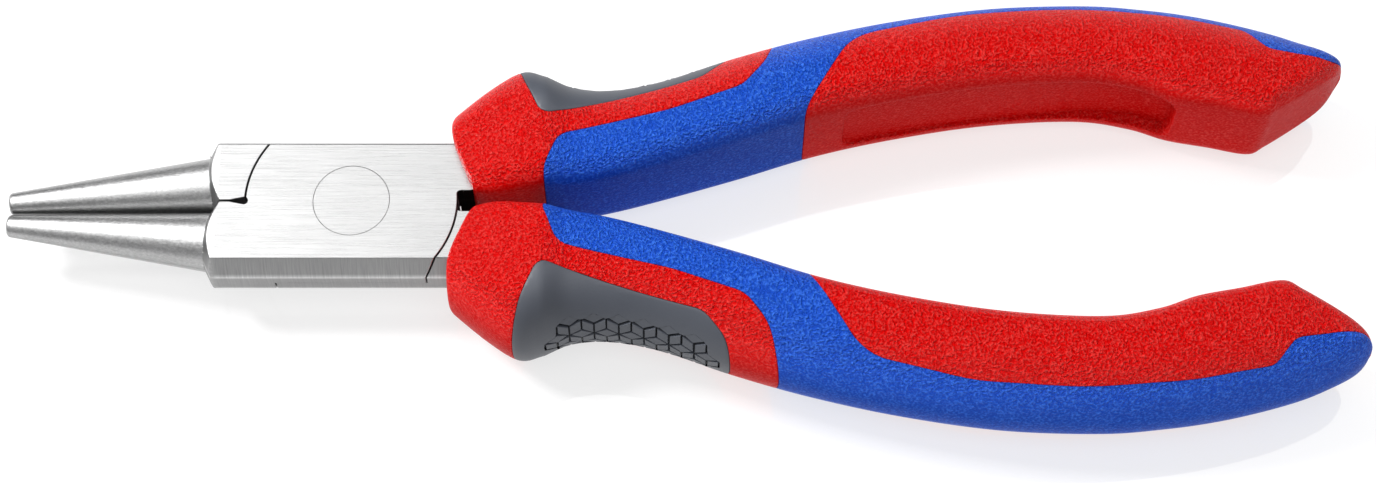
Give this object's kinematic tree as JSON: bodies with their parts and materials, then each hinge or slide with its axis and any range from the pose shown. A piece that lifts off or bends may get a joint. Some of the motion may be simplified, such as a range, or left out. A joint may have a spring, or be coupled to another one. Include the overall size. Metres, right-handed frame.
{
  "type": "round nose pliers",
  "caption": "Round nose pliers with tapered round jaws, a flush riveted lap joint and moulded two-colour grips with a thumb pad, for bending wire loops.",
  "frame": {"origin": "on the rivet's axis, in the flat underside of the joint", "axes": "+X towards the handle ends, +Y towards the handle whose lever lies on top in the joint, +Z out of the joint's top face"},
  "size_m": [0.1596, 0.0542, 0.0167],
  "materials": {
    "forged_steel": "fine ground joint faces, satin turned jaws",
    "rivet_steel": "ground flush with the joint",
    "hard_red": "fine grained satin",
    "soft_blue": "fine grained matt",
    "pad_grey": "smooth matt with embossed tiles"
  },
  "bodies": {
    "lower_handle": {"lower_lever": "forged_steel", "joint_rivet": "rivet_steel", "lower_grip_base": "hard_red", "lower_soft_skin": "soft_blue", "lower_thumb_pad": "pad_grey"},
    "upper_handle": {"upper_lever": "forged_steel", "upper_grip_base": "hard_red", "upper_soft_skin": "soft_blue", "upper_thumb_pad": "pad_grey"}
  },
  "joints": [
    {"name": "rivet_pivot", "type": "hinge", "parent": "lower_handle", "child": "upper_handle", "pos_m": [0, 0, 0], "axis": [0, 0, 1], "range_deg": [0, 40]}
  ]
}
